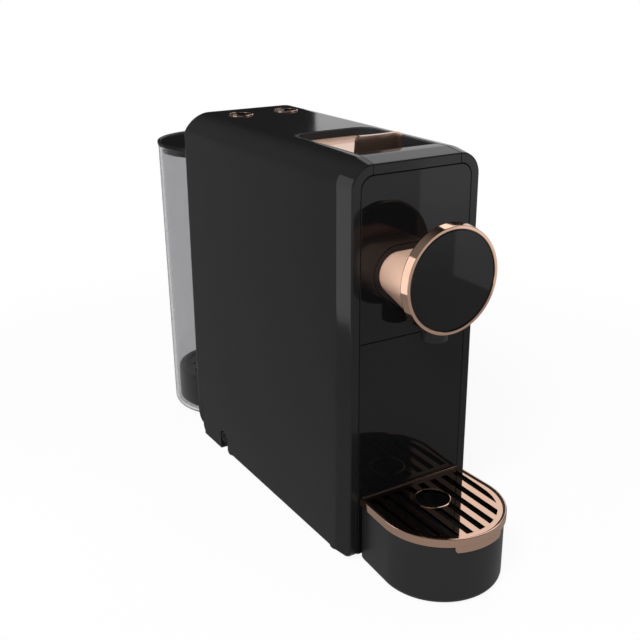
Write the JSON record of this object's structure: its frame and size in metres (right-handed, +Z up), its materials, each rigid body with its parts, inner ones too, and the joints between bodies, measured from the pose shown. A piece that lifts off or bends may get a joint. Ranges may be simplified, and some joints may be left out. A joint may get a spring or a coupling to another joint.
{
  "type": "pod coffee machine",
  "caption": "Slim black pod coffee machine with a lift lever, round front dial over a coffee nozzle, drip tray drawer and a round rear water tank",
  "frame": {"origin": "centre of the footprint rectangle, on the table plane under the feet", "axes": "+Z is up, the front with dial and drip tray faces -Y, the water tank is at +Y, and +X is to the right seen from the front"},
  "size_m": [0.105, 0.4298, 0.2926],
  "materials": {
    "housing": "satin-gloss black moulding",
    "panel": "piano black",
    "rose_gold": "polished rose-gold plating",
    "dark_plastic": "fine matte black",
    "brew_plastic": "dark grey engineering plastic",
    "gear_plastic": "off-white acetal",
    "smoke_clear": "clear smoke-grey plastic",
    "rubber": "black rubber",
    "pump_body": "grey coil housing",
    "boiler_metal": "die-cast aluminium",
    "board": "green circuit board",
    "hose": "translucent silicone",
    "steel": "steel"
  },
  "bodies": {
    "housing": {"housing_shell": "housing", "brow_cover": "housing", "upper_front_panel": "panel", "chassis": "dark_plastic", "rear_cover": "housing", "inlet_tray": "dark_plastic", "hinge_pin": "steel", "injector_head": "brew_plastic", "brew_frame": "brew_plastic", "coffee_funnel": "brew_plastic", "outlet_collar": "panel", "outlet_arm": "rose_gold", "coffee_nozzle": "dark_plastic", "dial_rim": "rose_gold", "dial_face": "panel", "bezel_left": "rose_gold", "bezel_right": "rose_gold", "spring_left": "steel", "spring_right": "steel", "switch_board": "board", "tank_dock": "dark_plastic", "dock_seal": "rubber", "pump": "pump_body", "pump_mounts": "rubber", "flow_meter": "gear_plastic", "boiler": "boiler_metal", "control_board": "board", "tank_hose": "hose", "feed_hose": "hose", "pressure_hose": "hose", "brew_hose": "hose", "cord_gland": "rubber", "feet": "rubber", "rear_screws": "steel"},
    "lever": {"lever": "rose_gold", "gear_sectors": "gear_plastic"},
    "cup_carriage": {"cup_carriage": "brew_plastic"},
    "button_left": {"button_left": "panel"},
    "button_right": {"button_right": "panel"},
    "drawer": {"pod_bin": "dark_plastic", "lower_front_panel": "panel", "drip_tray": "dark_plastic", "tray_band": "rose_gold"},
    "drip_grid": {"drip_grid": "rose_gold"},
    "water_tank": {"water_tank": "smoke_clear", "filter_cup": "dark_plastic", "tank_valve": "dark_plastic"},
    "tank_lid": {"tank_lid": "panel"}
  },
  "joints": [
    {"name": "lever_hinge", "type": "hinge", "parent": "housing", "child": "lever", "pos_m": [0, -0.0334, 0.2765], "axis": [-1, 0, 0], "range_deg": [0, 85]},
    {"name": "carriage_slide", "type": "slide", "parent": "housing", "child": "cup_carriage", "axis": [0, -1, 0], "range_m": [0, 0.0298]},
    {"name": "button_left_press", "type": "slide", "parent": "housing", "child": "button_left", "axis": [0, 0, -1], "range_m": [0, 0.0018], "stiffness_N_per_m": 400, "springref_m": -0.002, "deforming": ["spring_left"]},
    {"name": "button_right_press", "type": "slide", "parent": "housing", "child": "button_right", "axis": [0, 0, -1], "range_m": [0, 0.0018], "stiffness_N_per_m": 400, "springref_m": -0.002, "deforming": ["spring_right"]},
    {"name": "drawer_slide", "type": "slide", "parent": "housing", "child": "drawer", "axis": [0, -1, 0], "range_m": [0, 0.09]},
    {"name": "grid_lift", "type": "slide", "parent": "drawer", "child": "drip_grid", "axis": [0, 0, 1], "range_m": [0, 0.02]},
    {"name": "tank_lift", "type": "slide", "parent": "housing", "child": "water_tank", "axis": [0, 0, 1], "range_m": [0, 0.06]},
    {"name": "lid_lift", "type": "slide", "parent": "water_tank", "child": "tank_lid", "axis": [0, 0, 1], "range_m": [0, 0.03]}
  ],
  "couplings": [
    {"joint": "carriage_slide", "follows": "lever_hinge", "m_per_rad": 0.02}
  ]
}
